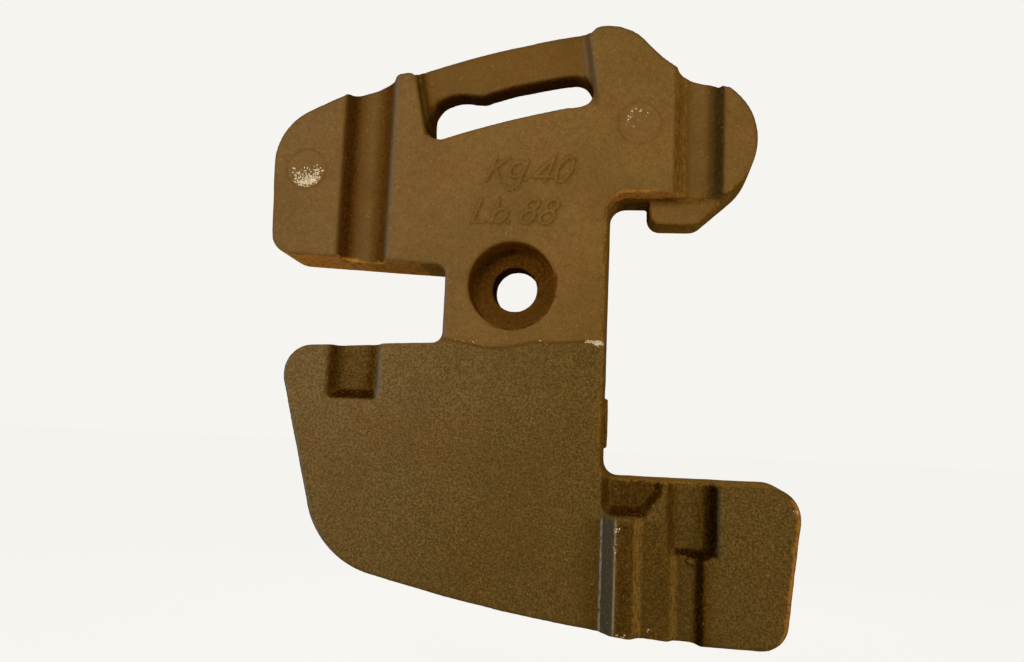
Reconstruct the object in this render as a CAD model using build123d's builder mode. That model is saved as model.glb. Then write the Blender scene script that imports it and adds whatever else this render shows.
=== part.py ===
"""Tractor suitcase weight: one grey-iron casting that hangs on a front carrier beam.

X runs to the right and Z up as the weight hangs, Y runs from the front face to the back face.
The origin is on the axis of the clamp bore, half way through the plate. All sizes are in millimetres.
"""

import os

from build123d import *

# Plate, drawn at its front face and widening towards the back with the mould draft
thickness = 51.0
draft_angle = 2.0
front_edge_chamfer = 2.2
back_edge_chamfer = 1.5

# Clamp bore, with the seat for the clamp nut sunk in the front face
bore_diameter = 35.0
seat_diameter = 66.0
seat_depth = 25.0
seat_lip_chamfer = 1.5
seat_floor_chamfer = 3.0

# Corners of the outline as (X, Z) from the bore, clockwise from the left lobe
left_lobe_top = (-195.3, 123.4)
top_arc_middle = (-52.5, 181.6)
shoulder = (82.6, 207.4)
valley = (115.6, 172.4)
right_lobe_tip = (158.0, 156.4)
right_lobe_side = (180.6, 118.0)
right_lobe_end = (166.8, 79.4)
lip_outer_x = 138.6
lip_inner_x = 103.2
lip_low_z = 54.0
notch_wall_x = 71.0
notch_top_z = 72.5
notch_bottom_z = -142.6
toe_upper_x = 215.6
toe_lower = (202.4, -255.2)
toe_heel = (146.0, -254.9)
bottom_arc_middle = (0.0, -239.3)
heel = (-138.4, -209.4)
block_shoulder = (-181.0, -51.4)
side_notch_x = -51.4
side_notch_low_z = -45.4
side_notch_high_z = 14.2
left_lobe_low = (-191.8, 22.0)

# Radii of those corners
left_lobe_top_radius = 46.0
shoulder_radius = 37.0
valley_radius = 34.0
right_lobe_tip_radius = 14.0
lip_outer_radius = 12.0
lip_inner_radius = 9.0
lip_root_radius = 3.0
notch_top_radius = 14.0
notch_bottom_radius = 13.0
toe_upper_radius = 21.0
toe_lower_radius = 19.0
heel_radius = 68.0
block_shoulder_radius = 22.0
side_notch_radius = 8.0
left_lobe_low_radius = 17.0

# Hook lip over the carrier beam: the front of the plate is cut back and only the rear part hangs down
lip_setback = 22.0

# Hand slot, wider at the thumb end
slot_low_left = (-73.0, 109.4)
slot_low_middle = (0.0, 130.8)
slot_low_right = (57.0, 142.2)
slot_high_right = (57.0, 172.3)
slot_high_middle = (0.0, 162.4)
slot_thumb_start = (-30.0, 154.8)
slot_thumb_middle = (-50.0, 157.4)
slot_thumb_end = (-73.0, 130.0)
slot_low_left_radius = 12.0
slot_low_right_radius = 10.0
slot_high_right_radius = 12.0
slot_thumb_radius = 14.0
slot_edge_chamfer = 2.0

# Grip bar above the slot, thinner than the plate on both faces
grip_setback = 12.0
grip_step_angle = 22.0
grip_left_high = (-94.6, 218.0)
grip_left_low = (-74.6, 126.0)
grip_right_high = (50.2, 218.0)
grip_right_low = (60.2, 153.0)
grip_edge_radius = 6.0

# Interlocking channels in the front face, and ribs on the back that enter the next weight's channels
channel_depth = 16.0
channel_floor_radius = 5.0
left_channel_x = (-139.0, -98.5)
left_channel_angle = 22.0
left_channel_lip_radius = 3.0
left_pocket_low_z = -90.5
right_channel_x = (119.0, 156.0)
right_channel_angle = 30.0
right_channel_lip_radius = 1.5
toe_pocket_x = (118.5, 154.5)
toe_pocket_angle = 20.0
toe_pocket_low_z = -192.5
toe_pocket_lip_radius = 3.0
rib_clearance = 1.5
rib_end_gap = 9.0
rib_top_chamfer = 2.5
left_rib_high_z = 138.0
right_rib_high_z = 146.0

# Recess in the front face at the foot of the carrier notch
foot_recess_x = (72.0, 117.0)
foot_recess_low_z = -168.0
foot_recess_slope_x = 104.0
foot_recess_slope_z = -150.0
foot_recess_angle = 20.0
foot_recess_radius = 9.0
foot_recess_floor_radius = 3.0

# Wave across the toe: a raised rail, a shallow step and a groove
rail_height = 9.0
rail_foot_x = 72.5
rail_top_x = (82.0, 94.0)
step_depth = 3.0
step_x = (104.0, 122.0)
groove_depth = 10.0
groove_floor_x = (129.0, 138.0)
groove_end_x = 145.0
wave_radius = 2.0

# Cast marks: round pads in the front face, and the stub of the pouring gate on the notch wall
pad_diameter = 33.0
pad_depth = 0.6
left_pad = (-167.0, 90.0)
right_pad = (93.0, 126.0)
gate_height = 4.0
gate_z = (-121.0, -82.0)
gate_width = 18.0
gate_angle = 20.0

# Places that follow from the sizes above
half = thickness / 2
front_plane = Plane.XZ.offset(half)
back_plane = Plane.XZ.offset(-half)
overall_height = shoulder[1] - toe_lower[1]
lip_outer = (lip_outer_x, lip_low_z)
lip_inner = (lip_inner_x, lip_low_z)
lip_root = (lip_inner_x, notch_top_z)
notch_top = (notch_wall_x, notch_top_z)
notch_bottom = (notch_wall_x, notch_bottom_z)
toe_upper = (toe_upper_x, notch_bottom_z)
side_notch_low = (side_notch_x, side_notch_low_z)
side_notch_high = (side_notch_x, side_notch_high_z)
side_notch_middle_z = (side_notch_low_z + side_notch_high_z) / 2
foot_recess_low_left = (foot_recess_x[0], foot_recess_low_z)
foot_recess_low_right = (foot_recess_slope_x, foot_recess_low_z)
foot_recess_high_right = (foot_recess_x[1], foot_recess_slope_z)
foot_recess_open_z = notch_bottom_z + channel_depth
ramp_slope = (step_x[0] - rail_top_x[1]) / (rail_height + step_depth)
ramp_face_x = rail_top_x[1] + ramp_slope * rail_height
tolerance = 0.01


def corner(sketch, point):
    """The corner of a sketch that lies at a plan point."""
    return sketch.vertices().sort_by_distance((point[0], point[1], 0))[0]


def strip(x_range, z_range):
    """A plain rectangle between two X and two Z values."""
    with BuildSketch() as area:
        with Locations((sum(x_range) / 2, sum(z_range) / 2)):
            Rectangle(x_range[1] - x_range[0], z_range[1] - z_range[0])
    return area.sketch


def pocket(area, depth, angle, radius):
    """A cutter with sloping walls and rounded inner edges, sunk from the front face."""
    with BuildPart() as cutter:
        with BuildSketch(front_plane):
            add(area)
        extrude(amount=-depth, taper=angle)
        mouth = cutter.faces().sort_by(Axis.Y)[0].edges()
        fillet(cutter.edges() - mouth, radius)
    return cutter.part


def at_height(shapes, y):
    """Those edges or faces that lie in one plane parallel to the plate."""
    return shapes.filter_by_position(Axis.Y, y - tolerance, y + tolerance)


def upper_lip(x):
    """The straight channel edge in the front face at one X, the highest where there are two."""
    edges = at_height(casting.edges().filter_by(Axis.Z), -half)
    return edges.filter_by_position(Axis.X, x - tolerance, x + tolerance).sort_by(Axis.Z)[-1]


with BuildSketch() as outline:
    with BuildLine():
        ThreePointArc(left_lobe_top, top_arc_middle, shoulder)
        Polyline(shoulder, valley, right_lobe_tip)
        ThreePointArc(right_lobe_tip, right_lobe_side, right_lobe_end)
        Polyline(right_lobe_end, lip_outer, lip_inner, lip_root, notch_top, notch_bottom, toe_upper)
        Polyline(toe_upper, toe_lower, toe_heel)
        ThreePointArc(toe_heel, bottom_arc_middle, heel)
        Polyline(heel, block_shoulder, side_notch_low, side_notch_high, left_lobe_low, left_lobe_top)
    make_face()
    for point, radius in (
        (left_lobe_top, left_lobe_top_radius),
        (shoulder, shoulder_radius),
        (valley, valley_radius),
        (right_lobe_tip, right_lobe_tip_radius),
        (lip_outer, lip_outer_radius),
        (lip_inner, lip_inner_radius),
        (lip_root, lip_root_radius),
        (notch_top, notch_top_radius),
        (notch_bottom, notch_bottom_radius),
        (toe_upper, toe_upper_radius),
        (toe_lower, toe_lower_radius),
        (heel, heel_radius),
        (block_shoulder, block_shoulder_radius),
        (side_notch_low, side_notch_radius),
        (side_notch_high, side_notch_radius),
        (left_lobe_low, left_lobe_low_radius),
    ):
        fillet(corner(outline, point), radius)

with BuildSketch() as hand_slot:
    with BuildLine():
        ThreePointArc(slot_low_left, slot_low_middle, slot_low_right)
        Line(slot_low_right, slot_high_right)
        ThreePointArc(slot_high_right, slot_high_middle, slot_thumb_start)
        ThreePointArc(slot_thumb_start, slot_thumb_middle, slot_thumb_end)
        Line(slot_thumb_end, slot_low_left)
    make_face()
    for point, radius in (
        (slot_low_left, slot_low_left_radius),
        (slot_low_right, slot_low_right_radius),
        (slot_high_right, slot_high_right_radius),
        (slot_thumb_start, slot_thumb_radius),
    ):
        fillet(corner(hand_slot, point), radius)

with BuildSketch() as grip_area:
    with BuildLine():
        Polyline(grip_left_high, grip_left_low, slot_low_middle, grip_right_low, grip_right_high, close=True)
    make_face()

with BuildSketch() as foot_recess_area:
    with BuildLine():
        Polyline(
            (foot_recess_x[0], foot_recess_open_z),
            foot_recess_low_left,
            foot_recess_low_right,
            foot_recess_high_right,
            (foot_recess_x[1], foot_recess_open_z),
            close=True,
        )
    make_face()
    for point in (foot_recess_low_left, foot_recess_low_right, foot_recess_high_right):
        fillet(corner(foot_recess_area, point), foot_recess_radius)

with BuildPart() as rail:
    with BuildSketch(Plane.XY.offset(foot_recess_low_z)):
        with BuildLine():
            Polyline(
                (rail_foot_x, -half),
                (rail_top_x[0], -half - rail_height),
                (rail_top_x[1], -half - rail_height),
                (step_x[0], -half + step_depth),
                (step_x[0], -half + groove_depth),
                (rail_foot_x, -half + groove_depth),
                close=True,
            )
        make_face()
    extrude(amount=-overall_height)
    with BuildSketch(front_plane.offset(rail_height)):
        add(outline.sketch)
    extrude(amount=-thickness, mode=Mode.INTERSECT)
    fillet(rail.faces().sort_by(Axis.Y)[0].edges(), wave_radius)

with BuildPart() as casting:
    # Drafted plate with rounded edges
    with BuildSketch(front_plane):
        add(outline.sketch)
    extrude(amount=-thickness, taper=-draft_angle)
    chamfer(casting.faces().sort_by(Axis.Y)[0].edges(), front_edge_chamfer)
    chamfer(casting.faces().sort_by(Axis.Y)[-1].edges(), back_edge_chamfer)

    # Hook lip
    lip_cut_x = (lip_inner_x - lip_setback, right_lobe_end[0] + lip_setback)
    lip_cut = strip(lip_cut_x, (lip_low_z - lip_setback, notch_top_z))
    add(pocket(lip_cut, lip_setback, 0, lip_root_radius), mode=Mode.SUBTRACT)

    # Hand slot and grip bar
    with BuildSketch(front_plane):
        add(hand_slot.sketch)
    extrude(amount=-thickness, mode=Mode.SUBTRACT)
    for end in (0, -1):
        face = casting.faces().sort_by(Axis.Y)[end]
        chamfer(face.inner_wires()[0].edges(), slot_edge_chamfer)
    for plane, way in ((front_plane, -1), (back_plane, 1)):
        with BuildSketch(plane):
            add(grip_area.sketch)
        extrude(amount=way * grip_setback, taper=grip_step_angle, mode=Mode.SUBTRACT)
    for y in (-half + grip_setback, half - grip_setback):
        bar_face = at_height(casting.faces().filter_by(Axis.Y), y).sort_by(Axis.Z)[-1]
        fillet(bar_face.edges().filter_by(GeomType.CIRCLE), grip_edge_radius)

    # Channels, pockets and the recess at the foot of the notch
    left_channel = strip(left_channel_x, (side_notch_middle_z, overall_height))
    left_pocket = strip(left_channel_x, (left_pocket_low_z, side_notch_middle_z))
    right_channel = strip(right_channel_x, (lip_low_z - channel_depth, overall_height))
    toe_pocket = strip(toe_pocket_x, (toe_pocket_low_z, foot_recess_open_z))
    for area, angle, radius in (
        (left_channel, left_channel_angle, channel_floor_radius),
        (left_pocket, left_channel_angle, channel_floor_radius),
        (right_channel, right_channel_angle, channel_floor_radius),
        (toe_pocket, toe_pocket_angle, channel_floor_radius),
        (foot_recess_area.sketch, foot_recess_angle, foot_recess_floor_radius),
    ):
        add(pocket(area, channel_depth, angle, radius), mode=Mode.SUBTRACT)
    for x, radius in (
        (left_channel_x[0], left_channel_lip_radius),
        (left_channel_x[0], left_channel_lip_radius),
        (right_channel_x[0], right_channel_lip_radius),
        (toe_pocket_x[0], toe_pocket_lip_radius),
    ):
        fillet(upper_lip(x), radius)

    # Step and groove across the toe, then the rail beside them
    with BuildSketch(Plane.XY.offset(-overall_height)) as groove_profile:
        with BuildLine():
            Polyline(
                (ramp_face_x, -half - rail_height),
                (ramp_face_x, -half),
                (step_x[0], -half + step_depth),
                (step_x[1], -half + step_depth),
                (groove_floor_x[0], -half + groove_depth),
                (groove_floor_x[1], -half + groove_depth),
                (groove_end_x, -half),
                (groove_end_x, -half - rail_height),
                close=True,
            )
        make_face()
        for point in (
            (step_x[0], -half + step_depth),
            (step_x[1], -half + step_depth),
            (groove_floor_x[0], -half + groove_depth),
            (groove_floor_x[1], -half + groove_depth),
        ):
            fillet(corner(groove_profile, point), wave_radius)
    extrude(amount=overall_height + notch_bottom_z + channel_depth, mode=Mode.SUBTRACT)
    add(rail.part)

    # Clamp bore and its nut seat
    with Locations(front_plane):
        CounterBoreHole(bore_diameter / 2, seat_diameter / 2, seat_depth)
    for end, size in ((0, seat_lip_chamfer), (-1, seat_floor_chamfer)):
        rims = casting.edges().filter_by(GeomType.CIRCLE)
        rims = rims.filter_by(lambda edge: abs(edge.radius - seat_diameter / 2) < tolerance)
        chamfer(rims.sort_by(Axis.Y)[end], size)

    # Ribs on the back, inside the channels by the clearance
    left_rib_z = (left_lobe_low[1] + rib_end_gap, left_rib_high_z)
    left_foot_rib_z = (left_pocket_low_z + rib_clearance, block_shoulder[1] - rib_end_gap)
    right_rib_z = (notch_top_z + rib_end_gap, right_rib_high_z)
    toe_rib_z = (toe_pocket_low_z + rib_clearance, notch_bottom_z - rib_end_gap)
    for (x0, x1), z_range, angle in (
        (left_channel_x, left_rib_z, left_channel_angle),
        (left_channel_x, left_foot_rib_z, left_channel_angle),
        (right_channel_x, right_rib_z, right_channel_angle),
        (toe_pocket_x, toe_rib_z, toe_pocket_angle),
    ):
        with BuildSketch(back_plane):
            add(strip((x0 + rib_clearance, x1 - rib_clearance), z_range))
        extrude(amount=-(channel_depth - rib_clearance), taper=angle)
    chamfer(at_height(casting.edges(), half + channel_depth - rib_clearance), rib_top_chamfer)

    # Trough on the back that takes the next weight's rail
    with BuildSketch(Plane.XY.offset(-overall_height)):
        with BuildLine():
            Polyline(
                (rail_foot_x - rib_clearance, half),
                (rail_top_x[0] - rib_clearance, half - rail_height - rib_clearance),
                (rail_top_x[1] + rib_clearance, half - rail_height - rib_clearance),
                (ramp_face_x + rib_clearance, half),
                close=True,
            )
        make_face()
    extrude(amount=overall_height + foot_recess_low_z + rib_clearance, mode=Mode.SUBTRACT)

    # Cast marks
    with BuildSketch(front_plane):
        with Locations(left_pad, right_pad):
            Circle(pad_diameter / 2)
    extrude(amount=-pad_depth, mode=Mode.SUBTRACT)
    with BuildSketch(Plane.YZ.offset(notch_wall_x)):
        with Locations((0, sum(gate_z) / 2)):
            SlotOverall(gate_z[1] - gate_z[0], gate_width, rotation=90)
    extrude(amount=gate_height, taper=gate_angle)

casting.part.label = "weight_casting"
os.makedirs("parts", exist_ok=True)
export_step(casting.part, "parts/weight_casting.step")
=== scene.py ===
"""Looks for the tractor suitcase weight: sand-cast iron under thin dark paint, with rust and wear, and
painted shade, sheen, highlights and warm light.

X, Y and Z are the part's own axes: X to the right, Z up as the weight hangs, Y from the front face to
the back face, with the clamp bore on the Y axis. Lengths are named in millimetres and used in metres.
"""

import math
from types import SimpleNamespace

import bmesh
import bpy
import numpy as np
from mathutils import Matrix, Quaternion, Vector, noise


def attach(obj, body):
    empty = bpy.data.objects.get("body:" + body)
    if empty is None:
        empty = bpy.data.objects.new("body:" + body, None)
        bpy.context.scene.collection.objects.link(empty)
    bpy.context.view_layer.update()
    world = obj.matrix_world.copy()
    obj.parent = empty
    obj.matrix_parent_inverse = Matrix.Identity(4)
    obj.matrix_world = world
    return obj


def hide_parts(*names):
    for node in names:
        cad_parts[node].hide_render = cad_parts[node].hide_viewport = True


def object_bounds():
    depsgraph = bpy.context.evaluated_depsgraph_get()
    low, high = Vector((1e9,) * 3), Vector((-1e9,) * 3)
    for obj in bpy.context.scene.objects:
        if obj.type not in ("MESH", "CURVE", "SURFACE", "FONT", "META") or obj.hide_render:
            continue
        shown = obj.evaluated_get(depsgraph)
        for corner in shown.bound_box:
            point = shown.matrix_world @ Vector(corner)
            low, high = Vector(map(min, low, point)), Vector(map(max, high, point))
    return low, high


MM = 0.001

# Camera of the photograph: place and aim, focal length in image widths, and the nearest distance that it
# sees, in metres
camera_place = Vector((77.1, -639.7, -103.9)) * MM
camera_target = Vector((2.15, -25.5, -35.45)) * MM
camera_roll = math.radians(2.37)
focal_in_widths = 830 / 1024
nearest_seen = 0.01

# Stage: the floor's drop under the part and its size, the photograph's background, the world's fill light,
# and the share and strength of the plain colour that the camera sees on the floor
floor_drop = 75 * MM
floor_size = 14.0
background = (0.921, 0.905, 0.871)
fill_colour = (1.0, 0.97, 0.93)
fill_strength = 0.20
floor_flat_share = 0.90
floor_flat_strength = 1.077

# Lamps: name, place, aim, size, power in watts and colour
lamps = (
    ("top_lamp", (-100, -560, 160), (0, 0, 20), (240, 160), 2.20, (1.0, 0.98, 0.92)),
    ("right_lamp", (360, -140, 0), (60, -20, -60), (60, 460), 0.20, (1.0, 0.80, 0.48)),
    ("back_lamp", (60, 640, 220), (0, 0, 0), (320, 320), 1.40, (1.0, 0.98, 0.94)),
    ("left_lamp", (-360, -120, -40), (0, -30, -40), (60, 420), 0.18, (0.74, 0.87, 1.0)),
)

# Mesh of the casting: grid, triangles, how little the decimation takes from all but the flat of the back,
# where that flat begins and how squarely it faces back, and the front face
voxel = 1.1 * MM
merge_distance = 1e-6
triangle_limit = 190000
front_share = 0.20
back_from_y = 2.5
back_facing = 0.97
front_y = -25.5
face_y = (front_y + 1.5, front_y + 0.7)

# Cast bead under the toe pocket, before the pocket's lower wall and the bead are moved down
bead_place = Vector((137.5, -16.5, -193.0)) * MM
bead_radius = 3.0 * MM

# Unevenness of the sand mould as wavelength and height, over all and on the rougher lower block, which
# begins over these depths under the mould step, in its form and in its paint
wobble = ((38.0, 0.20), (11.0, 0.07), (4.5, 0.03))
block_wobble = ((22.0, 0.20), (9.0, 0.14), (3.6, 0.06))
block_seed = 50
block_begins = (-2, 3)
block_paint_begins = (-2, 4)

# Mould step across the neck as X and Z along it, how far the block stands back below it, over which depths
# under the line that begins and fades, and the width of the neck
step_line = (
    (-60, -41), (-51, -42.5), (-41, -43.9), (-31, -45.5), (-18, -48.5), (0, -47.4),
    (10, -45), (20, -43), (38, -43), (57, -41.4), (75, -43),
)
step_setback = 0.9
step_begins = (-0.7, 0.7)
step_fades = (60, 6)
step_x = (-105, 150)
step_soft_x = 4

# Raised mass marking: stroke sizes and the slope of their sides, slope of the letters, start of each line,
# and the middle, half size and depth of the place that it takes up
stroke_half_width = 1.15
stroke_height = 1.2
stroke_side = (0.6, -0.7)
letter_slope = 0.40
line_starts = ((-22.8, 80.2), (-32.2, 47.8))
marking_middle = (12, 72)
marking_half = (62, 42)
marking_depth = 2

# Pads in the front face with bare grains: centre, radius, the side that is bare and how bare it is
pads = (
    ((-167, 89), 16.0, (0.2, -1.0), 1.0),
    ((93, 126), 16.0, (-0.6, 0.8), 0.32),
)

# Chipped spots as X, Z, half length, half width and strength
chips = (
    (103, 190, 1.6, 1.6, 1.0),
    (61.5, -41.8, 4.2, 1.0, 1.5),
    (67, -42.7, 3.8, 1.8, 1.6),
    (20, -42.2, 5.0, 1.2, 0.35),
    (-40, -42.9, 7.0, 1.2, 0.30),
    (-28, -44.5, 6.0, 1.4, 0.35),
    (209, -158, 2.0, 2.2, 0.9),
    (84, -177, 2.2, 3.0, 0.8),
    (83.5, -189, 1.6, 3.0, 0.6),
    (89, -249, 6.0, 2.5, 0.6),
    (108, -247, 2.5, 2.0, 0.5),
)

# Wear and painted light by zone: X range, Z range, Y range, facing as X, Y, Z, and the shares of each kind:
# dirt with painted shade, painted deep shade, rust and fresh rust with painted warm light, rubbed iron with
# a painted sheen, and painted sheen on lips
any_y = (-40, 30)
deep_y = (-24.3, 24)
rim_y = (-23, 24)
lip_y = (-26.5, -21.5)
left = (-1, 0, 0)
right = (1, 0, 0)
up = (0, 0, 1)
down = (0, 0, -1)
front = (0, -1, 0)
front_left = (-1, -1, 0)
zones = (
    # Left channel and pocket
    ((-106, -92), (12, 185), (-26.5, -14), front_left, {"lip_sheen": 0.34}),
    ((-138, -100), (-95, -74), deep_y, up, {"dirt_and_shade": 1.25}),
    ((-108, -97), (-92, -44), (-26.5, -16), front_left, {"lip_sheen": 0.70}),
    # Right channel
    ((118, 130), (64, 200), deep_y, right, {"rust_and_warm_light": 0.85}),
    # Grip and hand slot
    ((-102, -68), (112, 215), deep_y, right, {"rust_and_warm_light": 0.20}),
    ((42, 70), (150, 212), (-26.5, -11), front_left, {"lip_sheen": 0.20}),
    ((-92, 60), (140, 205), (-24.3, 0), front, {"dirt_and_shade": 0.21}),
    ((-80, 62), (120, 182), (-11, 30), down, {"dirt_and_shade": 0.98}),
    ((-80, -50), (104, 160), (-22, 30), right, {"dirt_and_shade": 1.05}),
    ((40, 62), (136, 176), (-13, 30), left, {"dirt_and_shade": 1.05}),
    # Throat and hook
    ((68, 142), (56, 84), (-7, 24), down, {"dirt_and_shade": 0.95, "rust_and_warm_light": 0.30, "fresh_rust_and_warm_light": 0.08}),
    ((82, 142), (56, 84), (2, 26), down, {"dirt_and_shade": 1.30, "deep_shade": 0.80}),
    ((68, 114), (60, 84), (-24.8, -7), down, {"dirt_and_shade": 0.20, "rust_and_warm_light": 1.0, "fresh_rust_and_warm_light": 0.58}),
    ((114, 142), (60, 84), (-24.8, -10), down, {"dirt_and_shade": 0.20, "rust_and_warm_light": 1.0, "fresh_rust_and_warm_light": 0.58}),
    ((96, 110), (50, 76), any_y, left, {"dirt_and_shade": 1.10, "deep_shade": 0.60}),
    ((100, 172), (44, 60), (-4, 24), down, {"dirt_and_shade": 0.55, "rust_and_warm_light": 0.50}),
    # Recess at the foot of the notch
    ((72, 118), (-172, -138), (-16, 24), front, {"dirt_and_shade": 0.52}),
    ((70, 118), (-174, -140), deep_y, up, {"dirt_and_shade": 1.05}),
    ((94, 120), (-172, -138), deep_y, left, {"dirt_and_shade": 1.10}),
    ((68, 84), (-172, -138), deep_y, right, {"dirt_and_shade": 0.70, "rust_and_warm_light": 0.35}),
    # Wave across the toe
    ((70, 84), (-260, -168), (-36, -24.5), left, {"rubbed_and_sheen": 1.0}),
    ((96, 102.5), (-260, -168), (-34, -21), right, {"rust_and_warm_light": 0.95}),
    ((122.5, 128.5), (-260, -190), (-24, -12), right, {"rust_and_warm_light": 0.85}),
    # Toe pocket
    ((117, 128), (-196, -138), deep_y, right, {"dirt_and_shade": 0.55, "rust_and_warm_light": 0.35}),
    ((153.5, 158.5), (-192, -142), lip_y, front_left, {"lip_sheen": 0.20}),
    ((114, 157), (-200, -182), deep_y, up, {"dirt_and_shade": 1.25}),
    # Outer rims
    ((66, 78), (-142, 74), rim_y, right, {"dirt_and_shade": 0.20, "rust_and_warm_light": 0.80}),
    ((66, 78), (-142, 74), (-27, -19), (1, -1, 0), {"dirt_and_shade": 0.45, "rust_and_warm_light": 0.60}),
    ((-200, -119), (4, 32), rim_y, down, {"rust_and_warm_light": 1.0, "fresh_rust_and_warm_light": 0.9}),
    ((-119, -72), (4, 32), rim_y, down, {"dirt_and_shade": 0.25, "rust_and_warm_light": 1.0, "fresh_rust_and_warm_light": 0.50}),
    ((-72, -48), (4, 32), rim_y, down, {"dirt_and_shade": 0.70, "rust_and_warm_light": 0.70, "fresh_rust_and_warm_light": 0.15}),
    ((120, 190), (50, 150), rim_y, (0.6, 0, -0.8), {"dirt_and_shade": 0.60, "rust_and_warm_light": 0.60}),
    ((150, 190), (60, 112), (-27, -21), (0.6, -0.5, -0.6), {"rust_and_warm_light": 0.8}),
    ((190, 222), (-256, -150), (-27, -18), (1, -1, 0), {"rust_and_warm_light": 0.9, "fresh_rust_and_warm_light": 0.55}),
    ((72, 216), (-150, -138), rim_y, up, {"rust_and_warm_light": 0.90}),
    ((-190, -120), (-225, -60), (-27, -22), front_left, {"lip_sheen": 0.60}),
    ((-56, -48), (-42, 12), (-27, -20), front_left, {"lip_sheen": 0.45}),
)

# Painted shade with dirt, painted deep shade and a little rust across each channel, groove and step: Z
# range, deepest Y, X and Z of a line along it and its lean as X per Z, kind of wear or painted shade, and
# pairs of X from that line and share
upright = (0, 0, 0)
profiles = (
    # Left channel
    (
        (12, 210), 12, upright, "dirt_and_shade",
        ((-140, 0), (-138.8, 0.2), (-137, 0.92), (-134, 0.96), (-131, 0.74), (-128.5, 0.46), (-126, 0.28),
         (-121, 0.12), (-117.5, 0.14), (-114.5, 0.42), (-111, 0.68), (-108, 0.90), (-105, 0.85),
         (-102.5, 0.50), (-100, 0.30), (-97, 0.12), (-94, 0)),
    ),
    # Left pocket
    (
        (-89, -38), 12, upright, "dirt_and_shade",
        ((-142, 0), (-140, 0.3), (-138, 0.85), (-136, 0.92), (-134, 0.66), (-131, 0.46), (-126, 0.38),
         (-121, 0.32), (-117, 0.42), (-113.5, 0.56), (-111, 0.78), (-108, 0.95), (-105, 0.55), (-102, 0)),
    ),
    # Right channel
    (
        (60, 210), -8, upright, "dirt_and_shade",
        ((118.5, 0), (119.5, 0.3), (121, 0.05), (124, 0.12), (127, 0.35), (129.5, 0.38), (132, 0.20),
         (135, 0.03), (142, 0.02), (144.5, 0.22), (147, 0.30), (149, 0)),
    ),
    (
        (60, 210), -8, upright, "deep_shade",
        ((144.5, 0), (147, 0.35), (149.5, 0.72), (152, 0.92), (155, 0.88), (156.6, 0.25), (158, 0)),
    ),
    # Steps at both ends of the grip
    (
        (117, 215), 0, (-94.6, 218, -0.217), "dirt_and_shade",
        ((-1.5, 0), (0, 0.50), (0.8, 1.15), (1.6, 1.15), (2.4, 1.0), (3.4, 1.0), (4.2, 1.25), (5.0, 1.05),
         (6.2, 0.62), (8, 0.32), (12, 0.12), (16, 0)),
    ),
    (
        (117, 215), 0, (-94.6, 218, -0.217), "rust_and_warm_light",
        ((1.4, 0), (2.2, 0.42), (3.2, 0.42), (4.0, 0)),
    ),
    (
        (140, 215), 0, (60.2, 153, -0.154), "deep_shade",
        ((-10, 0), (-7, 0.12), (-4.5, 0.18), (-3, 0.42), (-1, 0.55), (0.4, 0.2), (1.4, 0)),
    ),
    # Wave across the toe
    (
        (-262, -170), 0, upright, "dirt_and_shade",
        ((52, 0), (60, 0.10), (70, 0.36), (72, 0.26), (73, 0), (83.5, 0), (85, 0.52), (90, 0.64),
         (93.5, 0.45), (96, 0.12), (98, 0), (101, 0.05), (104, 0.24), (107, 0.32), (116, 0.27),
         (119, 0.10), (121, 0)),
    ),
    (
        (-262, -191), 0, upright, "dirt_and_shade",
        ((114, 0), (115, 0.34), (119, 0.34), (122, 0.22), (125, 0.05), (128, 0.10), (130, 0.16),
         (136, 0.12), (139, 0.25), (140.5, 0.7), (142, 0.92), (145, 0.92), (146, 0.5), (149, 0.28),
         (153, 0.08), (157, 0)),
    ),
    (
        (-262, -191), 0, upright, "deep_shade",
        ((139.5, 0), (141, 0.40), (142, 0.80), (145, 0.80), (146, 0.25), (147, 0)),
    ),
    # Toe pocket
    (
        (-193, -138), 12, upright, "dirt_and_shade",
        ((117, 0), (119, 0.1), (122, 0.55), (125, 0.60), (127, 0.24), (130, 0.10), (134, 0.12), (139, 0.20),
         (143, 0.32), (146, 0.58), (148, 0.85), (150, 0.92), (154.7, 0.92), (156, 0.4), (157.5, 0)),
    ),
    (
        (-193, -138), 12, upright, "deep_shade",
        ((145.5, 0), (147.5, 0.30), (149.5, 0.70), (151.5, 0.90), (154.7, 0.90), (156, 0.4), (157.5, 0)),
    ),
)
wear_and_light_kinds = ("dirt_and_shade", "deep_shade", "rust_and_warm_light", "fresh_rust_and_warm_light", "rubbed_and_sheen", "lip_sheen")

# Turn of a surface at which wear and painted light begin and are full: to a side, to a slant, squarely and
# loosely to the front, and away from the back. Then the soft edges of zones and profiles
side_turn = (0.15, 0.75)
slant_turn = (0.75, 0.95)
front_turn = (0.5, 0.9)
face_turn = (0.2, 0.8)
back_turn = (0.3, 0.0)
zone_soft = 1.0
zone_soft_y = 0.8
profile_soft_z = 1.5
profile_soft_y = 1.0

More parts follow.
